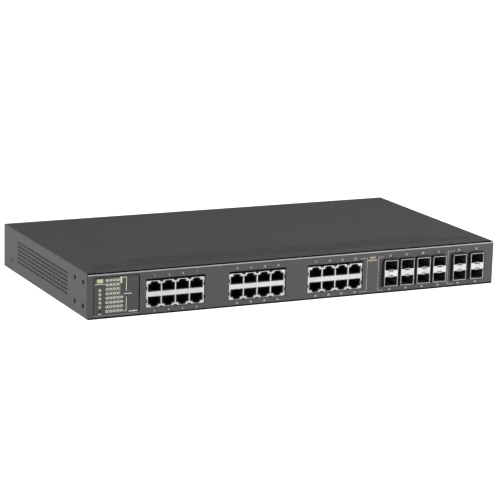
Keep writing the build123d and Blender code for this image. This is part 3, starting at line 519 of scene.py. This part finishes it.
def port_numbers():
    """Port numbers above and below the jacks and the cages, odd above and even below."""
    shape = bmesh.new()
    number = 1
    places = [middle(shield).x + column for shield in SHIELDS for column in JACK_COLUMNS]
    places += [middle(name).x for name in SFP_CAGES + PLUS_CAGES]
    for x in places:
        print_numeral(shape, number, x, NUMBER_HIGH, FACE, NUMBER_SIZE)
        print_numeral(shape, number + 1, x, NUMBER_LOW, FACE, NUMBER_SIZE)
        number += 2
    from_bmesh("port_numbers", shape, WHITE_INK)


def panel_brackets():
    """Brackets that group the jacks, the cages and the faster cages."""
    shape = bmesh.new()
    bracket(shape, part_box(SHIELDS[-1])[1].x, *JACK_BRACKET)
    bracket(shape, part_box(SFP_CAGES[0])[0].x, *CAGE_BRACKET)
    bracket(shape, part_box(PLUS_CAGES[0])[0].x, *PLUS_BRACKET)
    from_bmesh("panel_brackets", shape, GREY_INK)


def light_places():
    """The port lights, four full columns of eight and a fifth of four, and the column of system lights."""
    ports = [
        (PORT_LIGHTS[0] + column * PORT_LIGHT_PITCH[0], PORT_LIGHTS[1] + row * PORT_LIGHT_PITCH[1])
        for column in range(FULL_COLUMNS + 1)
        for row in range(ROWS if column < FULL_COLUMNS else SHORT_ROWS)
    ]
    system = [(SYSTEM_LIGHTS[0], SYSTEM_LIGHTS[1] + row * SYSTEM_LIGHT_PITCH) for row in range(SYSTEM_ROWS)]
    return ports, system


def label_rings():
    """Pale rings round the lights, and the label's thin bars and bracket."""
    shape = bmesh.new()
    ports, system = light_places()
    for x, z in ports + system:
        print_ring(shape, x, z, FILM_FACE, RING_OUTER, RING_INNER)
    print_bars(shape, LABEL_BARS, FILM_FACE)
    from_bmesh("label_rings", shape, RING_INK)


def label_numbers():
    """Tiny port numbers beside the port lights."""
    shape = bmesh.new()
    for number, (x, z) in enumerate(light_places()[0], start=1):
        print_numeral(shape, number, x + LIGHT_NUMBER_SHIFT, z, FILM_FACE, LIGHT_NUMBER_SIZE)
    from_bmesh("label_numbers", shape, TAN_INK)


def label_tint():
    """Olive bands behind the numbers of the port lights."""
    shape = bmesh.new()
    for column in range(FULL_COLUMNS):
        left = PORT_LIGHTS[0] + column * PORT_LIGHT_PITCH[0] + TINT_START
        print_bar(shape, left, left + TINT_WIDTH, TINT_FOOT, TINT_TOP, FILM_FACE + INK / 2)
    from_bmesh("label_tint", shape, OLIVE_INK)


def label_panels():
    """Pale green patches: a plain bar in the top left corner and one above the short column of lights."""
    shape = bmesh.new()
    print_bars(shape, LABEL_PANELS, FILM_FACE)
    from_bmesh("label_panels", shape, GREEN_INK)


def group_name_bars():
    """Two plain tan bars between the jacks' bracket and the cages' bracket."""
    shape = bmesh.new()
    print_bars(shape, NAME_BARS, FACE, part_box(SHIELDS[-1])[1].x + NAME_BARS_START)
    from_bmesh("group_name_bars", shape, TAN_INK)


def latch_tabs():
    """The turned lips above and below each cage's bar, over the latch notches."""
    shape = bmesh.new()
    for name in SFP_CAGES + PLUS_CAGES:
        x, front = middle(name).x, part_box(name)[0].y
        left, right = x - TAB_HALF_WIDTH, x + TAB_HALF_WIDTH
        for foot, top in TAB_HEIGHTS:
            bar(shape, (left, front + TAB_FRONT, foot), (right, front + TAB_BACK, top))
    from_bmesh("cage_latch_tabs", shape, TAB_STEEL)


paint_nodes()
port_numbers()
panel_brackets()
label_tint()
label_rings()
label_numbers()
label_panels()
group_name_bars()
latch_tabs()


# ---------------------------------------------------------------- studio

# Floor: half width, tone, glow as the camera sees it and glow as it falls on the object
FLOOR_REACH, FLOOR_TONE, FLOOR_ROUGHNESS = 30, (0.7, 0.7, 0.7), 0.9
FLOOR_SEEN, FLOOR_GLOW = 1.0, 0.14
# Sky: tone at the horizon and overhead, height over which it fades, strength
HORIZON, OVERHEAD, SKY_FADE, SKY_STRENGTH = (1.0, 1.0, 1.0), (0.10, 0.10, 0.105), 0.4, 0.75
# Each light's name, size, power, place and the point it is aimed at
LIGHTS = [
    ("left_key", (1.6, 0.9), 44, (-2.0, 0.3, 0.5), (-0.22, 0, 0.02)),
    ("top_fill", (0.6, 0.6), 8, (0.7, -0.5, 1.0), (0.1, -0.05, 0.04)),
    ("front_fill", (1.4, 0.6), 29, (1.2, -1.8, 0.45), (0.1, 0, 0.02)),
]
# Camera: the point it looks at, its distance, its angles in degrees and its lens in millimetres
LOOK_AT = (-54.45 * MM, FACE + 0.07 * MM, 54.75 * MM)
DISTANCE = 1.9997
AZIMUTH, ELEVATION, ROLL = -25.905, 12.755, 1.545
LENS, SENSOR, FARTHEST = 150.5, 36, 100


def lit(name, size, energy, place, target):
    """A soft rectangular light aimed at a point."""
    light = bpy.data.lights.new(name, "AREA")
    light.shape = "RECTANGLE"
    light.size, light.size_y = size
    light.energy = energy
    lamp = bpy.data.objects.new(name, light)
    lamp.location = place
    lamp.rotation_mode = "QUATERNION"
    lamp.rotation_quaternion = (Vector(place) - Vector(target)).to_track_quat("Z", "Y")
    bpy.context.scene.collection.objects.link(lamp)


def studio():
    """Pale floor, bright horizon, dim sky overhead and three soft lights."""
    shape = bmesh.new()
    bmesh.ops.create_grid(shape, x_segments=1, y_segments=1, size=FLOOR_REACH)
    mesh = bpy.data.meshes.new("floor")
    shape.to_mesh(mesh)
    shape.free()
    floor = bpy.data.objects.new("floor", mesh)
    bpy.context.scene.collection.objects.link(floor)
    material, tree, shader = new_finish("pale_floor")
    shader.inputs["Base Color"].default_value = (*FLOOR_TONE, 1)
    shader.inputs["Roughness"].default_value = FLOOR_ROUGHNESS
    shader.inputs["Emission Color"].default_value = (1, 1, 1, 1)
    rays = tree.nodes.new("ShaderNodeLightPath")
    glow = ranged(tree, rays.outputs["Is Camera Ray"], FLOOR_GLOW, FLOOR_SEEN, 0.0, 1.0)
    tree.links.new(glow, shader.inputs["Emission Strength"])
    mesh.materials.append(material)

    world = bpy.data.worlds.new("studio")
    bpy.context.scene.world = world
    world.use_nodes = True
    tree = world.node_tree
    background = tree.nodes["Background"]
    coordinates = tree.nodes.new("ShaderNodeTexCoord")
    axes = tree.nodes.new("ShaderNodeSeparateXYZ")
    tree.links.new(coordinates.outputs["Generated"], axes.inputs["Vector"])
    sky = two_tone(tree, axes.outputs["Z"], HORIZON, OVERHEAD, 0.0, SKY_FADE)
    tree.links.new(sky, background.inputs["Color"])
    background.inputs["Strength"].default_value = SKY_STRENGTH

    for light in LIGHTS:
        lit(*light)
    bpy.context.scene.view_settings.view_transform = "Standard"


def camera():
    """A long lens from the front left, a little above the top."""
    azimuth, elevation, roll = math.radians(AZIMUTH), math.radians(ELEVATION), math.radians(ROLL)
    back = Vector((
        math.sin(azimuth) * math.cos(elevation),
        -math.cos(azimuth) * math.cos(elevation),
        math.sin(elevation),
    ))
    lens = bpy.data.cameras.new("camera")
    lens.lens = LENS
    lens.sensor_width = SENSOR
    lens.clip_end = FARTHEST
    body = bpy.data.objects.new("camera", lens)
    body.location = Vector(LOOK_AT) + back * DISTANCE
    body.rotation_mode = "QUATERNION"
    body.rotation_quaternion = back.to_track_quat("Z", "Y") @ Quaternion((0, 0, 1), roll)
    bpy.context.scene.collection.objects.link(body)
    bpy.context.scene.camera = body


studio()
camera()
